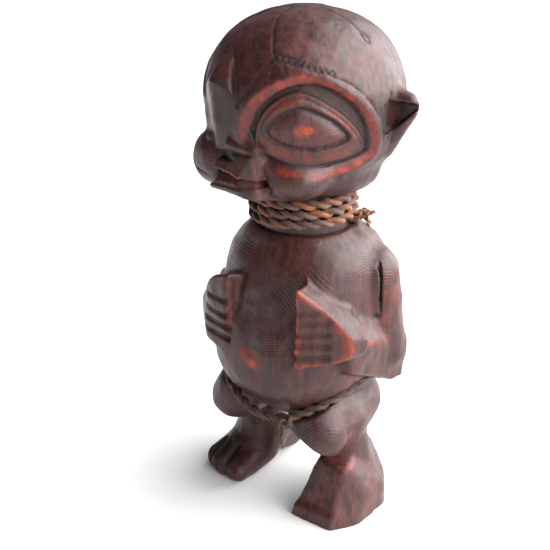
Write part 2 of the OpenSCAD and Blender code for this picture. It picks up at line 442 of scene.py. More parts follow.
def ear(q):
    e = turned(q, -122)
    flap = plate(e, (0, -25, 157.5), (0.5, -28.5, 136.2), (-1, -37.6, 150.8), 2.7)
    flap = softMin(flap, limb(e, (-0.4, -29, 155.5), (-0.8, -36.4, 153), 3.0, 2.6), 1.0)
    return softMax(flap, -(e[:, 1] + 39.8), 1.0)


def earHollow(q):
    e = turned(q, -122)
    return facets(
        e,
        [
            ((0.9, -33, 150), (1, -0.1, 0)),
            ((-2, -37.2, 152.2), (0.2, -0.1, 0.97)),
            ((-2, -38.2, 149.2), (0, -0.66, -0.75)),
            ((-2, -31.6, 150), (0.3, 1, 0)),
        ],
        0.4,
    )


trunk = {
    "halfWidth": 30,
    "halfLength": 30.5,
    "power": 2.3,
    "levels": [  # height, share of the half width, share of the half length, and how far back the middle is
        (36, 0.40, 0.40, 1), (38, 0.54, 0.54, 1), (43, 0.72, 0.73, 0.5), (48, 0.85, 0.87, 0), (55, 0.95, 0.97, -1),
        (63, 1.0, 0.98, -1.5), (73, 1.01, 0.95, -0.5), (82, 0.965, 0.92, 1.5), (90, 0.955, 0.89, 2.5),
        (97, 0.92, 0.83, 3), (102.5, 0.81, 0.73, 2.5), (106, 0.67, 0.63, 1), (109, 0.52, 0.52, 0),
    ],
}
trunkTable = np.array(smoothPath(trunk["levels"], 8))


def addTrunk(p, d):
    height = p[:, 2]
    w, l, back = (np.interp(height, trunkTable[:, 0], trunkTable[:, i]) for i in (1, 2, 3))
    w, l = w * trunk["halfWidth"], l * trunk["halfLength"]
    n = trunk["power"]
    qx, qy = np.abs(p[:, 0]) / w, np.abs(p[:, 1] - back) / l
    size = np.maximum((qx**n + qy**n) ** (1 / n), 1e-4)
    rate = np.hypot((qx / size) ** (n - 1) / w, (qy / size) ** (n - 1) / l)
    t = (size - 1) / np.maximum(rate, 1e-4)
    t = softMax(t.astype(np.float32), 37 - height, 2.0)
    t = softMax(t, height - 109, 1.5)
    neck = np.hypot(p[:, 0], p[:, 1]) - 16
    neck = np.maximum(np.maximum(neck, 98 - height), height - 125)
    t = softMin(t, neck, 1.2)
    cut(t, p, (0, -33, 68), 14, lambda q: egg(q, (2.6, -33.2, 71), (4.0, 3.4, 6.4)), 1.6)  # navel
    cut(t, p, (9, -33, 72), 26, lambda q: limb(q, (9.5, -39, 92), (9, -40.5, 56), 8.6, 8.6), 2.5)
    cut(t, p, (-11, -33, 72), 26, lambda q: limb(q, (-12, -39, 90), (-11, -40.5, 58), 8.6, 8.6), 2.5)
    d[:] = softMin(d, t, 0.8)


def arm(p, side):  # side is 1 for the figure's left
    m = p * vec(side, 1, 1)
    upper = limb(m, (22.6, 10, 91), (27.5, 13.3, 61), 10.4, 8.2)
    fore = facets(
        m,
        [
            ((33.6, 0, 71), (0.878, 0.127, 0.464)),
            ((27, -8, 83.5), (0.1, 0.48, 0.87)),
            ((33.8, -6, 68), (0.99, -0.07, -0.1)),
            ((31, -2.5, 57.2), (0.2, -0.42, -0.88)),
            ((29, 20.5, 62), (0.3, 0.95, -0.1)),
            ((18, 0, 70), (-1, 0, 0)),
            ((30, -14, 72), (0.2, -1, 0)),
        ],
        1.6,
    )
    a = softMin(upper, fore, 1.2)
    return softMin(a, leftHand(m) if side > 0 else rightHand(m), 0.8)


def leftHand(m):
    return facets(
        m,
        [
            ((19, -28.7, 76), (0.62, -0.785, 0.03)),
            ((19.4, -26, 76), (-1, -0.2, 0)),
            ((27.6, -21.4, 87.4), (0.62, 0.14, 0.77)),
            ((32.4, -18, 82), (0.85, 0, 0.52)),
            ((20, -26, 66.2), (0.12, 0.05, -1)),
            ((34.6, -16.5, 73), (0.93, -0.2, -0.1)),
            ((32, -18, 68.8), (0.6, -0.1, -0.8)),
            ((24, -8, 74), (0, 1, 0)),
        ],
        1.1,
    )


def rightHand(m):
    return facets(
        m,
        [
            ((15, -29.6, 76), (0.12, -0.99, 0)),
            ((8.6, -28, 76), (-1, -0.3, 0)),
            ((20.5, -28.5, 76), (0.55, -0.83, 0.02)),
            ((13, -26, 91.5), (0.3, 0.25, 0.93)),
            ((22, -22, 86), (0.75, 0, 0.66)),
            ((13, -26, 62.5), (0.1, -0.1, -1)),
            ((26, -18, 64), (0.7, -0.2, -0.68)),
            ((31, -14, 75), (1, -0.2, 0)),
            ((20, -10, 74), (0, 1, 0)),
        ],
        2.0,
    )


fingerLines = {
    1: [[(20, -28, z), (24.5, -24.6, z + 0.1), (29, -21, z + 0.5)] for z in (70.5, 74.7, 78.9, 83.1, 86.6)],
    -1: [[(-8.5, -29.5, z), (-15, -29.6, z), (-22, -27.6, z)] for z in (68.8, 73, 77.3, 82.8)],
}
armCrease = [(29.4, -9, 82.4), (29.8, -4, 81), (30.6, 4, 78)]


def armGroove(m):  # one deep knife cut between trunk and upper arm
    return facets(
        m,
        [
            ((30.2, 5, 88), (-1, 0, -0.1)),
            ((30, 4.4, 88), (0.1, -1, 0)),
            ((30, 5.6, 88), (0.45, 1, 0)),
            ((30, 5, 77), (0, 0, -1)),
            ((30, 5, 97), (0.4, 0, 1)),
        ],
        0.4,
    )


def addArms(p, d):
    for side in (1, -1):
        add(d, p, (side * 26, -2, 78), 42, lambda q: arm(q, side), 1.6)
        for line in fingerLines[side]:
            incise(d, p, line, 1.7, 1.1)
        cut(d, p, (side * 30, 5, 87), 16, lambda q: armGroove(q * vec(side, 1, 1)), 0.4)
        incise(d, p, [(side * x, y, z) for x, y, z in armCrease], 1.6, 0.8)


def thigh(m):
    upper = limb(m, (12.5, 6, 48), (18.5, -12.5, 38.5), 13, 10.4)
    knee = limb(m, (18.5, -12.5, 38.5), (21.0, -13.6, 35.5), 10.4, 9.6)
    back = limb(m, (16.5, 9, 39), (21.5, -2, 36.5), 11.5, 9.6)
    t = softMin(softMin(upper, knee, 2), back, 3)
    return t


bootCorner = (32, -17, 0)


def leftLeg(m):
    planes = [((25, -12, 27.6), (-0.36, -0.43, -0.83)), ((22, -22.4, 40), (0.2, -0.95, 0.2))]
    knee = softMax(thigh(m), facets(m, planes, 0.3), 0.8)
    shin = limb(m, (20.5, -1.5, 33), (21.5, 2.5, 14), 9.2, 9.5)
    boot = facets(
        m,
        [
            ((15, -20, 3), (0.10, -0.95, 0.30)),
            (bootCorner, (0.866, -0.468, 0.175)),
            ((36, 0, 5), (1, 0.05, -0.04)),
            ((36, 0, 11), (0.9, 0.03, 0.43)),
            ((35, 8, 5), (0.8, 0.6, -0.04)),
            ((34.6, 8, 10), (0.72, 0.5, 0.48)),
            ((30, 16, 0), (0.4, 0.88, 0.15)),
            ((13.4, 0, 4), (-1, -0.05, 0.28)),
            ((26, -8, 24.5), (0.25, -0.35, 0.9)),
            ((26, 4, 27), (0.1, 0.5, 0.86)),
        ],
        1.4,
    )
    toe = facets(
        m,
        [
            ((15, -21.2, 0), (0.12, -1, 0.1)),
            ((15, -20, 5.2), (0.05, -0.5, 0.86)),
            (bootCorner, (0.866, -0.468, 0.12)),
            ((35.8, -9, 0), (1, 0, 0.1)),
            ((14, -10, 0), (-1, 0.1, 0.2)),
            ((24, 0, 0), (0, 1, 0)),
        ],
        1.2,
    )
    return softMin(knee, softMin(softMin(shin, boot, 1.4), toe, 1.0), 0.8)


def rightLeg(m):
    knee = softMax(thigh(m), facets(m, [((20, -14, 26.2), (0, -0.2, -1))], 0.3), 1.4)
    shin = limb(m, (20.5, -1, 32), (21.5, 2.5, 14), 9.0, 9.5)
    foot = softMin(
        limb(m, (21.5, 16, 6.5), (21.5, -1, 13), 8.4, 8.2), limb(m, (27.5, 5, 6), (29.5, -15, 3.5), 8, 5.2), 4
    )
    foot = softMin(foot, limb(m, (17.8, -2, 6), (17.2, -17.5, 3.5), 6, 4.4), 4)
    foot = softMin(foot, limb(m, (23.5, -2, 9), (23.5, -17.5, 4), 8, 4.6), 4)
    return softMin(knee, softMin(shin, foot, 3), 1.2)


toeLines = [
    [(-20.2, -24, 0), (-20.6, -21.5, 6.5), (-21.4, -13, 10.5)],
    [(-25.4, -23.5, 0), (-25.4, -20.5, 7), (-25.8, -12.5, 10.5)],
    [(-30.2, -22, 0), (-30, -18.5, 6.8), (-29.5, -11.5, 9.8)],
]
bootLine = [(31.6, -15.5, 26), (32.0, -16.2, 17), (32.4, -17.2, 2)]


def addLegs(p, d):
    for side, lower in ((1, leftLeg), (-1, rightLeg)):
        mirror = vec(side, 1, 1)
        near = nearTo(p, (side * 20, 0, 26), 44)
        if not len(near):
            continue
        m = p[near] * mirror
        d[near] = softMin(d[near], lower(m), 1.0)
    for line in toeLines:
        incise(d, p, line, 2.2, 1.7)
    incise(d, p, bootLine, 1.3, 0.8)


cordRadius = 1.65
neckTurns = {"radius": 17.75, "bottom": neckMiddle - 5.1, "turns": 3, "pitch": 3.4, "start": 118}
neckGroove = {"radius": 19.1, "reach": 3.1, "halfHeight": 6.7}
hipRing = {
    "halfWidth": 27.4, "halfLength": 27.8, "back": 0.4, "front": 43.6, "rise": 12.5,
    "sag": 4.2, "sagAt": 25, "slot": 3.6,
}


def neckPoint(degrees):
    a, r = math.radians(degrees), neckTurns["radius"]
    rise = neckTurns["pitch"] * (degrees - neckTurns["start"]) / 360
    return (r * math.sin(a), -r * math.cos(a), neckTurns["bottom"] + rise)


def hipHeight(turn):  # the loop climbs towards the back, and sags at the knot
    climb = hipRing["rise"] * np.sqrt(0.02 + np.sin(turn / 2) ** 2)
    sag = hipRing["sag"] * np.maximum(np.cos(turn - math.radians(hipRing["sagAt"])), 0) ** 6
    return hipRing["front"] + climb - sag


def hipPoint(degrees):
    a = math.radians(degrees)
    across, along = hipRing["halfWidth"] * math.sin(a), hipRing["halfLength"] * math.cos(a)
    return (across, hipRing["back"] - along, float(hipHeight(a)))


def addHipGroove(p, d):
    near = np.nonzero((p[:, 2] > 38) & (p[:, 2] < 64) & (np.hypot(p[:, 0], p[:, 1]) < 36))[0]
    if not len(near):
        return
    q = p[near]
    away = pathDistance(q, [hipPoint(a) for a in range(0, 361, 9)])
    across, along = q[:, 0] / hipRing["halfWidth"], (q[:, 1] - hipRing["back"]) / hipRing["halfLength"]
    turn = np.arctan2(across, -along)
    out = (np.hypot(across, along) - 1) * hipRing["halfWidth"]
    slot = np.maximum(np.abs(q[:, 2] - hipHeight(turn)) - cordRadius - 0.1, np.maximum(-out, out - hipRing["slot"]))
    d[near] = softMax(d[near], -np.minimum(slot, away - cordRadius - 0.05), 0.5)


ripples = [  # direction and wavelength in mm, and how deep: the knife never left a true curve
    ((0.9, 0.2, 0.4), 17, 0.22), ((-0.3, 0.8, 0.5), 13, 0.20), ((0.2, -0.5, 0.85), 19, 0.24),
    ((0.7, 0.6, -0.4), 7.3, 0.10), ((-0.6, 0.3, 0.75), 6.1, 0.09), ((0.1, 0.95, 0.3), 8.2, 0.09),
    ((0.8, -0.5, 0.3), 3.4, 0.04), ((0.3, 0.4, 0.86), 2.9, 0.04), ((-0.5, -0.7, 0.5), 3.9, 0.04),
]


def unevenness(p):
    total = np.zeros(len(p), np.float32)
    for i, (direction, wave, depth) in enumerate(ripples):
        k = vec(*direction) / math.sqrt(sum(v * v for v in direction)) * 2 * math.pi / wave
        bend = 1.7 * np.sin(p @ vec(0.11, -0.07, 0.09) * (1 + 0.3 * i) + i)
        total += depth * np.abs(np.sin(0.5 * (p @ k + bend) + i)) - depth * 0.64
    return total


def figure(p):
    d = np.full(len(p), 30, np.float32)
    z = p[:, 2]
    parts = ((32, 126, addTrunk), (50, 108, addArms), (-4, 66, addLegs), (112, crown + 9, addHead))
    for low, high, part in parts:
        band = np.nonzero((z > low) & (z < high))[0]
        if len(band):
            share = d[band]
            part(p[band], share)
            d[band] = share
    close = np.nonzero(np.abs(d) < 4)[0]
    d[close] += unevenness(p[close])
    away = np.hypot(p[:, 0], p[:, 1])
    collar = np.nonzero((z > 104) & (z < 124) & (away < 26))[0]
    ring = np.maximum(
        np.abs(away[collar] - neckGroove["radius"]) - neckGroove["reach"],
        np.abs(z[collar] - neckMiddle) - neckGroove["halfHeight"],
    )
    d[collar] = softMax(d[collar], -ring, 0.5)
    addHipGroove(p, d)
    return np.maximum(d, -z)


carving = {
    "step": 0.45,  # mm between samples
    "triangles": 190000,
}


def sampleGrid(low, count, step):
    axes = [low[i] + step * np.arange(count[i], dtype=np.float32) for i in range(3)]
    return np.stack(np.meshgrid(*axes, indexing="ij"), -1).reshape(-1, 3)


def carve(form, low, high, step):
    block = 4  # fine samples along each side of a coarse cell
    cells = [int(math.ceil((high[i] - low[i]) / (step * block))) for i in range(3)]
    coarse = sampleGrid(np.array(low) + step * (block - 1) / 2, cells, step * block)
    rough = form(coarse)
    grid = np.repeat(np.repeat(np.repeat(rough.reshape(cells), block, 0), block, 1), block, 2)
    grid = np.where(grid > 0, 3, -3).astype(np.float32)
    close = np.nonzero(np.abs(rough) < step * block * 1.2 + 0.9)[0]
    offsets = sampleGrid((0, 0, 0), (block, block, block), step) - step * (block - 1) / 2
    view = grid.reshape(cells[0], block, cells[1], block, cells[2], block).transpose(0, 2, 4, 1, 3, 5)
    ci, cj, ck = np.unravel_index(close, cells)
    for start in range(0, len(close), 16000):
        part = close[start:start + 16000]
        p = (coarse[part][:, None, :] + offsets[None]).reshape(-1, 3)
        fine = np.clip(form(p) / step, -3, 3).reshape(-1, block, block, block)
        view[ci[start:start + 16000], cj[start:start + 16000], ck[start:start + 16000]] = fine
    return grid, rough.reshape(cells)


def surfaceOf(grid, low, step):
    volume = openvdb.FloatGrid(3.0)
    volume.copyFromArray(np.ascontiguousarray(grid))
    points, triangles, quads = volume.convertToPolygons(isovalue=0.0, adaptivity=0.0)
    return points * step + np.array(low), triangles, quads


def newObject(name, mesh):
    obj = bpy.data.objects.new(name, mesh)
    bpy.context.scene.collection.objects.link(obj)
    return obj


def evaluated(obj):  # the object as a plain mesh, with its modifiers used up
    graph = bpy.context.evaluated_depsgraph_get()
    mesh = bpy.data.meshes.new_from_object(obj.evaluated_get(graph))
    old = obj.data
    obj.modifiers.clear()
    if isinstance(old, bpy.types.Mesh):
        obj.data = mesh
        bpy.data.meshes.remove(old)
        return obj
    name = obj.name
    bpy.data.objects.remove(obj)
    return newObject(name, mesh)


def dropCrumbs(mesh):  # anything that the cuts left loose from the block
    ends = np.empty(len(mesh.edges) * 2, np.int32)
    mesh.edges.foreach_get("vertices", ends)
    ends = ends.reshape(-1, 2)
    label = np.arange(len(mesh.vertices))
    while True:
        before = label.copy()
        low = label[ends].min(1)
        np.minimum.at(label, ends[:, 0], low)
        np.minimum.at(label, ends[:, 1], low)
        label = label[label]
        if (label == before).all():
            break
    crumbs = np.nonzero(label != np.bincount(label).argmax())[0]
    print("loose points removed:", len(crumbs))
    if len(crumbs):
        tidy = bmesh.new()
        tidy.from_mesh(mesh)
        tidy.verts.ensure_lookup_table()
        bmesh.ops.delete(tidy, geom=[tidy.verts[i] for i in crumbs], context="VERTS")
        tidy.to_mesh(mesh)
        tidy.free()


def putAttribute(mesh, name, values):
    layer = mesh.attributes.new(name, "FLOAT", "POINT")
    layer.data.foreach_set("value", np.ascontiguousarray(values, np.float32))


def sampleAt(grid, p, low, step):
    q = np.clip(np.rint((p - np.array(low)) / step).astype(int), 0, np.array(grid.shape) - 1)
    return grid[q[:, 0], q[:, 1], q[:, 2]]


def boxBlur(grid, reach):
    size = 2 * reach + 1
    for axis in range(3):
        wide = [(0, 0)] * 3
        wide[axis] = (reach + 1, reach)
        total = np.cumsum(np.pad(grid, wide, mode="edge"), axis=axis, dtype=np.float32)
        upper = [slice(None)] * 3
        lower = [slice(None)] * 3
        upper[axis] = slice(size, None)
        lower[axis] = slice(0, -size)
        grid = (total[tuple(upper)] - total[tuple(lower)]) / size
    return grid


wornSpots = [  # where the dark surface has rubbed through to the orange wood: middle, radii and strength
    ((4, -32, 63.4), (4.6, 4, 2.4), 0.8),
    ((2, -32, 66), (8, 5, 4), 0.5),
    ((6, -33, 78), (7, 5, 10), 0.38),
    ((12, -26, 98), (7, 6, 6), 0.42),
    ((28, -2, 56.5), (9, 12, 2.6), 0.45),
    ((30, -9, 31), (7, 6, 3), 0.45),
    ((31, -7, 23), (5, 8, 2.4), 0.38),
    ((33, 8, 84), (4, 6, 24), 0.3),
]
paintedShadeSpots = [  # painted shade round the nose, in the head's frame: the nose's front-left plane, the slot under the nose and the far cheek are darkened where little light falls
    ((6, -35, 150), (6.5, 5, 13), 0.55),
    ((8, -34, 137), (8, 6, 3), 0.6),
    ((-10, -34, 131), (7, 7, 7), 0.4),
]
wornLines = [  # and along which edges: path, reach and strength
    ([(20.5, -27, 94), (25, -24.2, 90.5), (30, -20.8, 86), (33.8, -17.8, 80), (35, -16, 73), (31, -18.6, 68.6)],
     2.4, 0.56),
    ([(20.2, -27, 93), (20.2, -27.4, 67)], 1.5, 0.5),
    ([(20.5, -27, 67), (30.5, -19.5, 67.5)], 1.6, 0.5),
    ([(33.4, -7, 72.4), (33.4, 13, 67.2)], 1.3, 0.4),
    ([(-11, -28.6, 91), (-21, -25.5, 89.5)], 1.8, 0.55),
    ([(-9, -29, 64), (-9, -29, 90)], 1.3, 0.4),
    ([(14, -20, 29.5), (24, -19, 30), (30, -12, 30.5)], 1.8, 0.5),
    ([(-14, -22, 28), (-26, -22, 30)], 2.0, 0.4),
    ([(31.6, -15.5, 26), (32, -17, 3)], 1.2, 0.3),
]


def pointsOf(mesh):  # in mm round the neck's axis
    p = np.empty(len(mesh.vertices) * 3, np.float32)
    mesh.vertices.foreach_get("co", p)
    return p.reshape(-1, 3) * 1000 - vec(neckX * 1000, neckY * 1000, 0)


def paintFigure(mesh, grid, rough, low, step):
    p = pointsOf(mesh)
    edge = sampleAt(boxBlur(grid, 2), p, low, step) * step - sampleAt(grid, p, low, step) * step
    coarseStep = step * 4
    coarseLow = np.array(low) + step * 1.5
    broad = sampleAt(boxBlur(np.clip(rough, -8, 8), 1), p, coarseLow, coarseStep)
    broad = broad - sampleAt(rough, p, coarseLow, coarseStep)
    q = turned(p, head["turn"])
    onWall = (p[:, 2] > 121) & (np.abs(egg(q, head["middle"], head["radii"], head["power"])) < 3.2)
    worn = np.where(onWall, readMap(eyeWorn, q), 0)
    # painted shade from the eye map, inside the sockets and round the eyeballs
    paintedShade = np.where(onWall, readMap(eyePaintedShade, q), 0) * 0.8
    for middle, radii, strength in wornSpots:
        away = lengthOf((p - vec(*middle)) / vec(*radii))
        worn = np.maximum(worn, strength * (1 - ramp(away, 0.35, 1.15)))
    for path, reach, strength in wornLines:
        near = nearTo(p, np.mean(np.array(path), axis=0), math.dist(path[0], path[-1]) + 4 * reach)
        away = pathDistance(p[near], path)
        worn[near] = np.maximum(worn[near], strength * (1 - ramp(away, 0.2 * reach, 1.5 * reach)))
    worn = np.maximum(worn, 0.4 * ramp(edge, 0.2, 0.5))
    # painted shade round the nose
    for middle, radii, strength in paintedShadeSpots:
        away = lengthOf((q - vec(*middle)) / vec(*radii))
        paintedShade = np.maximum(paintedShade, strength * (1 - ramp(away, 0.5, 1.2)))
    # painted shade along the finger, toe and boot grooves and the arm creases
    grooves = [(line, 1.5) for side in (1, -1) for line in fingerLines[side]] + [(bootLine, 1.0)]
    grooves += [(line, 2.2) for line in toeLines]
    grooves += [([(side * x, y, z) for x, y, z in armCrease], 1.4) for side in (1, -1)]
    for line, width in grooves:
        near = nearTo(p, np.mean(np.array(line), axis=0), math.dist(line[0], line[-1]))
        away = pathDistance(p[near], line)
        paintedShade[near] = np.maximum(paintedShade[near], 0.85 * np.exp(-((away / (0.6 * width)) ** 2)))
    # painted shade along the lines cut in the head
    along = np.nonzero(onWall)[0]
    mirrored = q[along]
    mirrored[:, 0] = np.abs(mirrored[:, 0])
    for line, width, _ in incisedOnHead:
        away = pathDistance(mirrored, line)
        paintedShade[along] = np.maximum(paintedShade[along], 0.9 * np.exp(-((away / (0.55 * width)) ** 2)))
    # painted shade in hollows, where the surface curves inwards
    paintedShade = np.maximum(paintedShade, ramp(-edge, 0.03, 0.22))
    putAttribute(mesh, "worn", worn)
    putAttribute(mesh, "paintedShade", paintedShade)
    putAttribute(mesh, "broad", np.clip(broad, -1, 1))
    degrees = np.degrees(np.abs(np.arctan2(q[:, 0], -q[:, 1])))
    browHatch = onWall * ramp(degrees, 17, 20) * (1 - ramp(degrees, 33, 37)) * ramp(p[:, 2], 150, 153)
    browHatch = browHatch * (1 - ramp(p[:, 2] - 0.85 * degrees, 134.5, 136.5))
    chestHatch = (1 - ramp(lengthOf((p - vec(18, -24, 92)) / vec(16, 12, 9)), 0.8, 1.1)) * (p[:, 2] < 106)
    thighHatch = 1 - ramp(lengthOf((p - vec(24, -22, 40)) / vec(9, 9, 9)), 0.8, 1.1)
    putAttribute(mesh, "browHatch", browHatch)
    putAttribute(mesh, "chestHatch", chestHatch)
    putAttribute(mesh, "thighHatch", thighHatch)


def makeFigure():
    step = carving["step"]
    low = (-42, -40, -3)
    high = (42, 46, crown + 4)
    grid, rough = carve(figure, low, high, step)
    points, triangles, quads = surfaceOf(grid, low, step)
    print("figure carved:", len(points), "points")
    points[:, 2] = np.maximum(points[:, 2], 0)
    mesh = bpy.data.meshes.new("carvedFigure")
    placed = (points + np.array((neckX * 1000, neckY * 1000, 0))) / 1000
    mesh.from_pydata(placed, [], quads.tolist() + triangles.tolist())
    tidy = bmesh.new()
    tidy.from_mesh(mesh)
    bmesh.ops.recalc_face_normals(tidy, faces=tidy.faces)
    if tidy.calc_volume(signed=True) < 0:
        bmesh.ops.reverse_faces(tidy, faces=tidy.faces)
    tidy.to_mesh(mesh)
    tidy.free()
    obj = newObject("carvedFigure", mesh)
    now = sum(len(f.vertices) - 2 for f in mesh.polygons)
    if now > carving["triangles"]:
        fewer = obj.modifiers.new("fewer", "DECIMATE")
        fewer.ratio = carving["triangles"] / now
        obj = evaluated(obj)
    dropCrumbs(obj.data)
    obj.data.shade_smooth()
    paintFigure(obj.data, grid, rough, low, step)
    print("figure meshed:", len(obj.data.polygons), "faces")
    return obj


def addNode(tree, kind, inputs=None, **settings):
    node = tree.nodes.new(kind)
    for key, value in settings.items():
        setattr(node, key, value)
    for key, value in (inputs or {}).items():
        socket = node.inputs[key]
        if isinstance(value, bpy.types.NodeSocket):
            tree.links.new(value, socket)
        else:
            socket.default_value = value
    return node


def mathNode(tree, operation, *values, clamp=False):
    return addNode(tree, "ShaderNodeMath", dict(enumerate(values)), operation=operation, use_clamp=clamp).outputs[0]


def rangeNode(tree, value, low, high, outLow=0.0, outHigh=1.0):
    node = addNode(tree, "ShaderNodeMapRange", {0: value, 1: low, 2: high, 3: outLow, 4: outHigh})
    return node.outputs[0]


def mixColour(tree, share, first, second, blend="MIX"):
    node = addNode(tree, "ShaderNodeMix", {0: share, 6: first, 7: second}, data_type="RGBA", blend_type=blend)
    return node.outputs[2]


def colour(hexCode):
    parts = [int(hexCode[i:i + 2], 16) / 255 for i in (1, 3, 5)]
    return [c / 12.92 if c < 0.04045 else ((c + 0.055) / 1.055) ** 2.4 for c in parts] + [1]


def noiseAt(tree, place, scale, detail=3.0, roughness=0.55, distortion=0.0):
    node = addNode(
        tree, "ShaderNodeTexNoise",
        {"Vector": place, "Scale": scale, "Detail": detail, "Roughness": roughness, "Distortion": distortion},
    )
    return node.outputs["Fac"]


def placeNode(tree, scale, turn=(0, 0, 0)):
    source = addNode(tree, "ShaderNodeTexCoord").outputs["Object"]
    return addNode(tree, "ShaderNodeMapping", {"Vector": source, "Scale": scale, "Rotation": turn}).outputs[0]


def attribute(tree, name):
    return addNode(tree, "ShaderNodeAttribute", attribute_name=name).outputs["Fac"]


def waves(tree, place, pitch, wobble=1.2):  # parallel knife marks, this far apart in mm
    node = addNode(
        tree, "ShaderNodeTexWave",
        {"Vector": place, "Scale": 100 * math.pi / pitch, "Distortion": wobble, "Detail": 2.0, "Detail Scale": 0.4},
        wave_profile="SIN",
    )
    return node.outputs["Fac"]


woodFinish = {
    "dark": "#1a0b0a",
    "body": "#381817",
    "light": "#512622",
    "red": "#6a1f0e",
    "orange": "#a04314",
    "roughness": (0.36, 0.52),
}


def newMaterial(name):
    material = bpy.data.materials.new(name)
    material.use_nodes = True
    material.node_tree.nodes.clear()
    return material, material.node_tree


def giveSurface(tree, base, roughness, relief, depth, strength, **sockets):
    bump = addNode(tree, "ShaderNodeBump", {"Strength": strength, "Distance": depth, "Height": relief}).outputs[0]
    inputs = {"Base Color": base, "Roughness": roughness, "Normal": bump}
    inputs.update({name.replace("_", " "): value for name, value in sockets.items()})
    shader = addNode(tree, "ShaderNodeBsdfPrincipled", inputs)
    addNode(tree, "ShaderNodeOutputMaterial", {"Surface": shader.outputs[0]})


def carvedWood():
    material, tree = newMaterial("carvedWood")
    plain = placeNode(tree, (1, 1, 1))
    upright = placeNode(tree, (1, 1, 0.12))
    cloud = noiseAt(tree, plain, 34, 4)
    streak = noiseAt(tree, upright, 420, 5, 0.6, 0.4)
    fineStreak = noiseAt(tree, upright, 1500, 3, 0.6)
    mottle = noiseAt(tree, plain, 260, 5, 0.65)
    worn = attribute(tree, "worn")
    paintedShade = attribute(tree, "paintedShade")
    broad = attribute(tree, "broad")
    tone = rangeNode(tree, cloud, 0.35, 0.68)
    base = mixColour(tree, tone, colour(woodFinish["body"]), colour(woodFinish["light"]))
    base = mixColour(tree, rangeNode(tree, streak, 0.42, 0.62, 0, 0.75), base, colour(woodFinish["dark"]))
    base = mixColour(tree, rangeNode(tree, fineStreak, 0.5, 0.7, 0, 0.4), base, colour(woodFinish["dark"]))
    ragged = mathNode(tree, "ADD", worn, rangeNode(tree, mottle, 0.3, 0.7, -0.28, 0.22))
    ragged = mathNode(tree, "ADD", ragged, rangeNode(tree, broad, 0.0, 0.6, 0.0, 0.10))
    base = mixColour(tree, rangeNode(tree, ragged, 0.22, 0.55), base, colour(woodFinish["red"]))
    base = mixColour(tree, rangeNode(tree, ragged, 0.55, 0.95), base, colour(woodFinish["orange"]))
    base = mixColour(tree, rangeNode(tree, fineStreak, 0.52, 0.66, 0, 0.35), base, colour(woodFinish["dark"]))
    # painted shade: hollows, grooves, cut lines, eye sockets and the spots round the nose are mixed towards the dark
    # colour
    base = mixColour(tree, mathNode(tree, "MULTIPLY", paintedShade, 0.85), base, colour(woodFinish["dark"]))
    gloss = rangeNode(tree, mottle, 0.3, 0.7, woodFinish["roughness"][0], woodFinish["roughness"][1])
    gloss = mathNode(tree, "ADD", gloss, mathNode(tree, "MULTIPLY", paintedShade, 0.3), clamp=True)
    # knife marks: small cells, each with its own direction of fine strokes
    cells = addNode(tree, "ShaderNodeTexVoronoi", {"Vector": plain, "Scale": 130.0, "Randomness": 1.0})
    turn = addNode(
        tree, "ShaderNodeVectorRotate", {"Vector": plain, "Angle": mathNode(tree, "MULTIPLY", cells.outputs[1], 3.1)},
        rotation_type="AXIS_ANGLE",
    )
    turn.inputs["Axis"].default_value = (0.5, 0.6, 0.62)
    strokes = waves(tree, turn.outputs[0], 0.95, 5.0)
    patches = rangeNode(tree, noiseAt(tree, plain, 90, 2), 0.48, 0.62)
    marks = mathNode(tree, "MULTIPLY", mathNode(tree, "MULTIPLY", strokes, patches), 0.35)
    for name, pitch, rotation in (
        ("browHatch", 0.95, (0.3, 0.9, 0.5)),
        ("chestHatch", 1.1, (0.2, 0.75, 0.1)),
        ("thighHatch", 0.95, (0.4, -0.7, 0.3)),
    ):
        lines = waves(tree, placeNode(tree, (1, 1, 1), rotation), pitch, 0.8)
        share = mathNode(tree, "MULTIPLY", attribute(tree, name), 0.42)
        marks = mathNode(tree, "ADD", marks, mathNode(tree, "MULTIPLY", lines, share))
    relief = mathNode(tree, "ADD", marks, mathNode(tree, "MULTIPLY", streak, 0.9))
    relief = mathNode(tree, "ADD", relief, mathNode(tree, "MULTIPLY", mottle, 0.5))
    giveSurface(
        tree, base, gloss, relief, 0.00028, 0.55,
        Specular_IOR_Level=0.38, Coat_Weight=0.08, Coat_Roughness=0.3,
    )
    return material


fibreFinish = {
    "brown": "#5c3622",
    "orange": "#8f5024",
    "mauve": "#503334",
    "grey": "#57453f",
    "dark": "#22110f",
}


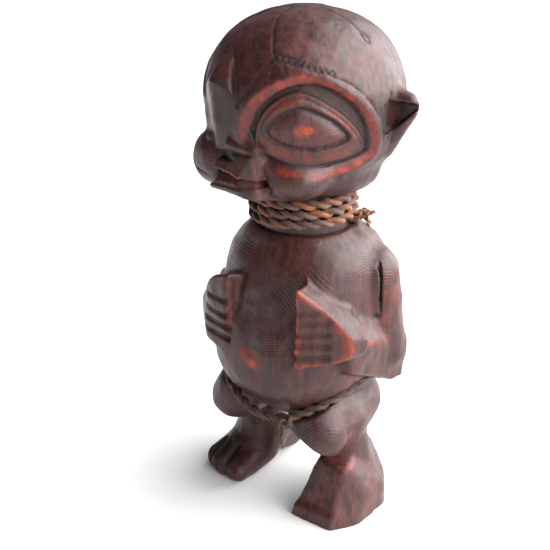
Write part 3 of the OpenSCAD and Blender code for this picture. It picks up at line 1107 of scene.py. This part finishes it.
def fibreCord():
    material, tree = newMaterial("fibreCord")
    place = placeNode(tree, (1, 1, 1))
    patch = noiseAt(tree, place, 160, 3)
    patchTwo = noiseAt(tree, placeNode(tree, (1, 1, 1), (1, 2, 0.5)), 110, 3)
    ply = attribute(tree, "ply")
    around = attribute(tree, "round")
    along = attribute(tree, "along")
    darkCordAndShade = attribute(tree, "darkCordAndShade")
    slant = mathNode(tree, "ADD", mathNode(tree, "MULTIPLY", around, 14.0), mathNode(tree, "MULTIPLY", along, 900.0))
    lines = addNode(tree, "ShaderNodeCombineXYZ", {0: slant, 1: mathNode(tree, "MULTIPLY", along, 60.0), 2: ply})
    fibre = noiseAt(tree, lines.outputs[0], 1.0, 4, 0.6)
    tone = rangeNode(tree, patch, 0.38, 0.6)
    base = mixColour(tree, tone, colour(fibreFinish["brown"]), colour(fibreFinish["orange"]))
    base = mixColour(tree, rangeNode(tree, patchTwo, 0.45, 0.62), base, colour(fibreFinish["mauve"]))
    base = mixColour(tree, mathNode(tree, "MULTIPLY", ply, 0.55), base, colour(fibreFinish["grey"]))
    base = mixColour(tree, rangeNode(tree, fibre, 0.45, 0.72, 0, 0.8), base, colour(fibreFinish["dark"]))
    # painted shade on the neck cord's far side, and the hip cord's own darker colour
    base = mixColour(tree, darkCordAndShade, base, colour(fibreFinish["dark"]))
    giveSurface(
        tree, base, 0.62, fibre, 0.00018, 0.7,
        Specular_IOR_Level=0.4, Sheen_Weight=0.2, Sheen_Roughness=0.4,
    )
    return material


cordMake = {
    "strandRadius": 0.93,  # mm; two of these lie round each other
    "lay": 10.5,  # mm of cord for one whole turn
    "ringStep": 0.45,
    "sides": 14,
    "hairs": 5.0,  # mm of cord for each loose hair
    "hairLength": (1.2, 3.4),
}


def newTree(name, sockets):
    tree = bpy.data.node_groups.new(name, "GeometryNodeTree")
    tree.interface.new_socket("Geometry", in_out="INPUT", socket_type="NodeSocketGeometry")
    for label, kind, value in sockets:
        socket = tree.interface.new_socket(label, in_out="INPUT", socket_type=kind)
        if value is not None:
            socket.default_value = value
    tree.interface.new_socket("Geometry", in_out="OUTPUT", socket_type="NodeSocketGeometry")
    return tree, addNode(tree, "NodeGroupInput").outputs, addNode(tree, "NodeGroupOutput")


def store(tree, geometry, name, value, domain="POINT"):
    return addNode(
        tree, "GeometryNodeStoreNamedAttribute", {"Geometry": geometry, "Name": name, "Value": value},
        data_type="FLOAT", domain=domain,
    ).outputs[0]


def laidCordTree():
    tree, given, out = newTree(
        "laidCord",
        [("Strand radius", "NodeSocketFloat", 0.00093), ("Lay", "NodeSocketFloat", 0.0105),
         ("Ring step", "NodeSocketFloat", 0.0005), ("Hair step", "NodeSocketFloat", 0.005),
         ("Hair size", "NodeSocketFloat", 1.0), ("Seed", "NodeSocketInt", 1),
         ("Material", "NodeSocketMaterial", None)],
    )
    spine = addNode(
        tree, "GeometryNodeResampleCurve", {"Curve": given["Geometry"], "Length": given["Ring step"]}, mode="LENGTH"
    ).outputs[0]
    travelled = addNode(tree, "GeometryNodeSplineParameter").outputs["Length"]
    spine = store(tree, spine, "along", travelled)
    tilt = mathNode(tree, "MULTIPLY", mathNode(tree, "DIVIDE", travelled, given["Lay"]), 2 * math.pi)
    twisted = addNode(tree, "GeometryNodeSetCurveTilt", {"Curve": spine, "Tilt": tilt}).outputs[0]
    strands = addNode(tree, "GeometryNodeJoinGeometry")
    for ply in (0, 1):
        ring = addNode(
            tree, "GeometryNodeCurvePrimitiveCircle",
            {"Resolution": cordMake["sides"], "Radius": given["Strand radius"]},
        ).outputs[0]
        ring = store(tree, ring, "round", addNode(tree, "GeometryNodeSplineParameter").outputs["Factor"])
        ring = store(tree, ring, "ply", float(ply))
        offset = mathNode(tree, "MULTIPLY", given["Strand radius"], 0.86 if ply else -0.86)
        shift = addNode(tree, "ShaderNodeCombineXYZ", {0: offset}).outputs[0]
        ring = addNode(tree, "GeometryNodeTransform", {"Geometry": ring, "Translation": shift}).outputs[0]
        tree.links.new(ring, strands.inputs[0])
    rope = addNode(
        tree, "GeometryNodeCurveToMesh", {"Curve": twisted, "Profile Curve": strands.outputs[0], "Fill Caps": True}
    ).outputs[0]
    # yarns inside each strand stand a little proud
    named = [
        addNode(tree, "GeometryNodeInputNamedAttribute", {"Name": name}, data_type="FLOAT").outputs[0]
        for name in ("round", "along")
    ]
    slant = mathNode(
        tree, "ADD", mathNode(tree, "MULTIPLY", named[0], 5.0), mathNode(tree, "MULTIPLY", named[1], -260.0)
    )
    yarn = mathNode(tree, "SINE", mathNode(tree, "MULTIPLY", slant, 2 * math.pi))
    rough = addNode(tree, "ShaderNodeTexNoise", {"Scale": 420.0, "Detail": 2.0}).outputs["Fac"]
    push = mathNode(tree, "ADD", mathNode(tree, "MULTIPLY", yarn, 0.00005),
                    rangeNode(tree, rough, 0.3, 0.7, -0.00012, 0.00012))
    along = addNode(
        tree, "ShaderNodeVectorMath", {0: addNode(tree, "GeometryNodeInputNormal").outputs[0], "Scale": push},
        operation="SCALE",
    ).outputs[0]
    rope = addNode(tree, "GeometryNodeSetPosition", {"Geometry": rope, "Offset": along}).outputs[0]
    # loose hairs
    spots = addNode(
        tree, "GeometryNodeCurveToPoints", {"Curve": spine, "Length": given["Hair step"]}, mode="LENGTH"
    )
    hair = addNode(
        tree, "GeometryNodeCurveQuadraticBezier",
        {"Resolution": 5, "Start": (0, 0, 0), "Middle": (0.0016, 0.0003, 0.0004), "End": (0.0024, 0.0014, 0.0004)},
    ).outputs[0]
    hair = store(tree, hair, "round", 0.5)
    hair = store(tree, hair, "ply", 0.3)
    spin = addNode(
        tree, "FunctionNodeRandomValue", {0: (-0.5, -0.6, 0.0), 1: (0.5, 0.6, 6.28), "Seed": given["Seed"]},
        data_type="FLOAT_VECTOR",
    ).outputs[0]
    facing = addNode(
        tree, "FunctionNodeRotateRotation", {"Rotation": spots.outputs["Rotation"]}, rotation_space="LOCAL"
    )
    tree.links.new(addNode(tree, "FunctionNodeEulerToRotation", {0: spin}).outputs[0], facing.inputs[1])
    size = addNode(
        tree, "FunctionNodeRandomValue", {2: 0.5, 3: 1.5, "Seed": given["Seed"]}, data_type="FLOAT"
    ).outputs[1]
    hairs = addNode(
        tree, "GeometryNodeInstanceOnPoints",
        {"Points": spots.outputs[0], "Instance": hair, "Rotation": facing.outputs[0],
         "Scale": mathNode(tree, "MULTIPLY", size, given["Hair size"])},
    ).outputs[0]
    hairs = addNode(tree, "GeometryNodeRealizeInstances", {0: hairs}).outputs[0]
    thin = addNode(tree, "GeometryNodeCurvePrimitiveCircle", {"Resolution": 4, "Radius": 0.00009}).outputs[0]
    hairs = addNode(
        tree, "GeometryNodeCurveToMesh", {"Curve": hairs, "Profile Curve": thin, "Fill Caps": True}
    ).outputs[0]
    together = addNode(tree, "GeometryNodeJoinGeometry")
    tree.links.new(rope, together.inputs[0])
    tree.links.new(hairs, together.inputs[0])
    solid = addNode(tree, "GeometryNodeRealizeInstances", {0: together.outputs[0]}).outputs[0]
    solid = addNode(tree, "GeometryNodeSetMaterial", {"Geometry": solid, "Material": given["Material"]}).outputs[0]
    tree.links.new(solid, out.inputs[0])
    return tree


def useTree(obj, tree, values):
    modifier = obj.modifiers.new(tree.name, "NODES")
    modifier.node_group = tree
    for item in tree.interface.items_tree:
        if item.item_type == "SOCKET" and item.in_out == "INPUT" and item.name in values:
            modifier[item.identifier] = values[item.name]
    return evaluated(obj)


def curveObject(name, paths, closed=False):  # the paths are in mm round the neck's axis
    data = bpy.data.curves.new(name, "CURVE")
    data.dimensions = "3D"
    for path in paths:
        spline = data.splines.new("POLY")
        spline.points.add(len(path) - 1)
        for point, place in zip(spline.points, path):
            point.co = (*toFrame(*place), 1)
        spline.use_cyclic_u = closed
    return newObject(name, data)


def pathLength(path, closed=False):
    ends = list(zip(path, path[1:] + path[:1])) if closed else list(zip(path, path[1:]))
    return sum(math.dist(a, b) for a, b in ends)


def layCord(name, node, paths, tree, material, seed, closed=False, radius=1.0, hairSize=1.0, hairStep=None):
    length = pathLength(paths[0], closed)
    lay = length / max(round(length / cordMake["lay"]), 1) if closed else cordMake["lay"]
    obj = curveObject(name, paths, closed)
    obj = useTree(
        obj, tree,
        {"Strand radius": cordMake["strandRadius"] * radius / 1000, "Lay": lay * radius / 1000,
         "Ring step": cordMake["ringStep"] * radius / 1000,
         "Hair step": (hairStep or cordMake["hairs"]) / 1000, "Hair size": hairSize, "Seed": seed,
         "Material": material},
    )
    putAttribute(obj.data, "darkCordAndShade", darkCordAndShadeOf(obj.data))
    obj.data.shade_smooth()
    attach(obj, "root")
    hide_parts(node)
    return obj


def darkCordAndShadeOf(mesh):  # painted shade on the far side of the neck cord, the side away from the light; the hip cord, its knot and its tail are darker all over, their own colour
    p = pointsOf(mesh)
    degrees = np.degrees(np.arctan2(p[:, 0], -p[:, 1]))
    return np.where(p[:, 2] > 90, 0.7 * (1 - ramp(degrees, -32, 5)), 0.75)


def knotPath(middle, size, lean):  # a small overhand knot
    c, s = math.cos(math.radians(lean)), math.sin(math.radians(lean))
    path = []
    for i in range(61):
        t = 2 * math.pi * i / 60
        x = (math.sin(t) + 2 * math.sin(2 * t)) / 3
        y = (math.cos(t) - 2 * math.cos(2 * t)) / 3
        z = -math.sin(3 * t) / 2.2
        path.append((middle[0] + size * (x * c - z * s), middle[1] + size * y, middle[2] + size * (x * s + z * c)))
    return path


def makeCords(material):
    tree = laidCordTree()
    start, turns = neckTurns["start"], neckTurns["turns"]
    wound = [neckPoint(a) for a in range(start, start + 360 * turns + 1, 3)]
    layCord("neckCord", "neck_cord", [wound], tree, material, 3)
    hip = [hipPoint(a) for a in range(0, 360, 3)]
    layCord("hipCord", "hip_cord", [hip], tree, material, 5, closed=True)
    a = math.radians(126)
    reach = neckTurns["radius"] + 1.75 * cordRadius
    neckKnot = (reach * math.sin(a), -reach * math.cos(a), neckTurns["bottom"] + 1.3)
    layCord("neckCordKnot", "neck_cord_knot", [knotPath(neckKnot, 2.0, 30)], tree, material, 7, closed=True,
            radius=0.62, hairStep=1.5, hairSize=0.7)
    x, y, z = hipPoint(30)
    hipKnot = (x + 0.8, y - 2.2, z - 1.2)
    layCord("hipCordKnot", "hip_cord_knot", [knotPath(hipKnot, 2.3, 60)], tree, material, 9, closed=True,
            radius=0.72, hairStep=0.8, hairSize=1.0)
    for name, node, knot, steps, seed in (
        ("neckCordTailLeft", "neck_cord_tail_left", neckKnot, [(1.2, 0.5, 0.3), (2.6, 1.4, 0.6), (3.6, 2.4, 1.2)], 11),
        ("neckCordTailRight", "neck_cord_tail_right", neckKnot, [(1.6, 0, -0.8), (3.9, -1.2, -2), (4.7, -3, -2.2)], 13),
        ("hipCordTail", "hip_cord_tail", hipKnot, [(-0.1, -1.0, -1), (0.2, -2.4, -4.1), (0.7, -2.6, -7.1)], 15),
    ):
        path = smoothPath([tuple(knot[i] + step[i] for i in range(3)) for step in steps], 8)
        layCord(name, node, [path], tree, material, seed, radius=0.5, hairStep=0.6, hairSize=0.9)
    print("cords laid")


view = {
    "azimuth": 40,  # degrees round from the figure's front towards its left
    "distance": 0.302,
    "height": 0.212,
    "pitch": 22.6,
    "lens": 59.1,
    "yaw": 1.9,  # how far the camera looks past the figure, to its left on the screen
}


def makeCamera():
    data = bpy.data.cameras.new("camera")
    data.lens = view["lens"]
    data.sensor_width = 36
    data.clip_start = 0.01
    obj = newObject("camera", data)
    a, p, yaw = math.radians(view["azimuth"]), math.radians(view["pitch"]), math.radians(view["yaw"])
    obj.location = (neckX + math.sin(a) * view["distance"], neckY - math.cos(a) * view["distance"], view["height"])
    toNeck, toRight = Vector((-math.sin(a), math.cos(a), 0)), Vector((math.cos(a), math.sin(a), 0))
    ahead = toNeck * math.cos(yaw) - toRight * math.sin(yaw)
    look = ahead * math.cos(p) - Vector((0, 0, math.sin(p)))
    obj.rotation_euler = look.to_track_quat("-Z", "Y").to_euler()
    bpy.context.scene.camera = obj


studio = {
    "brightSide": (0.74, 0.62, 0.26),
    "dim": 0.12,
    "bright": 0.62,
    "window": 8.5,
    "sun": 0.15,
    "softness": 50,
    "sunTravels": (-0.62, -0.25, -1.0),
}


def makeStage():
    size = 6.0
    mesh = bpy.data.meshes.new("floor")
    mesh.from_pydata([(-size, -size, 0), (size, -size, 0), (size, size, 0), (-size, size, 0)], [], [(0, 1, 2, 3)])
    floor = newObject("floor", mesh)
    material = bpy.data.materials.new("paleFloor")
    material.use_nodes = True
    shader = material.node_tree.nodes["Principled BSDF"]
    shader.inputs["Base Color"].default_value = (0.8, 0.8, 0.795, 1)
    shader.inputs["Roughness"].default_value = 0.75
    mesh.materials.append(material)
    world = bpy.data.worlds.new("studio")
    bpy.context.scene.world = world
    world.use_nodes = True
    tree = world.node_tree
    ahead = addNode(tree, "ShaderNodeTexCoord").outputs["Generated"]
    facing = addNode(tree, "ShaderNodeVectorMath", {0: ahead, 1: studio["brightSide"]}, operation="DOT_PRODUCT")
    glow = rangeNode(tree, facing.outputs["Value"], -0.5, 0.6, studio["dim"], studio["bright"])
    pane = rangeNode(tree, facing.outputs["Value"], 0.35, 0.9, 0, studio["window"])
    glow = mathNode(tree, "ADD", glow, pane)
    seen = addNode(tree, "ShaderNodeLightPath").outputs["Is Camera Ray"]
    glow = addNode(tree, "ShaderNodeMix", {0: seen, 2: glow, 3: 1.0}, data_type="FLOAT").outputs[0]
    tree.links.new(glow, tree.nodes["Background"].inputs[1])
    tree.nodes["Background"].inputs[0].default_value = (1, 1, 1, 1)
    sun = bpy.data.lights.new("window", "SUN")
    sun.energy = studio["sun"]
    sun.angle = math.radians(studio["softness"])
    lamp = newObject("window", sun)
    lamp.rotation_euler = Vector(studio["sunTravels"]).to_track_quat("-Z", "Y").to_euler()
    bpy.context.scene.view_settings.view_transform = "Standard"


makeCamera()
makeStage()
wood = carvedWood()
fibre = fibreCord()
makeCords(fibre)
doll = makeFigure()
doll.data.materials.append(wood)
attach(doll, "root")
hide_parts("carved_figure")
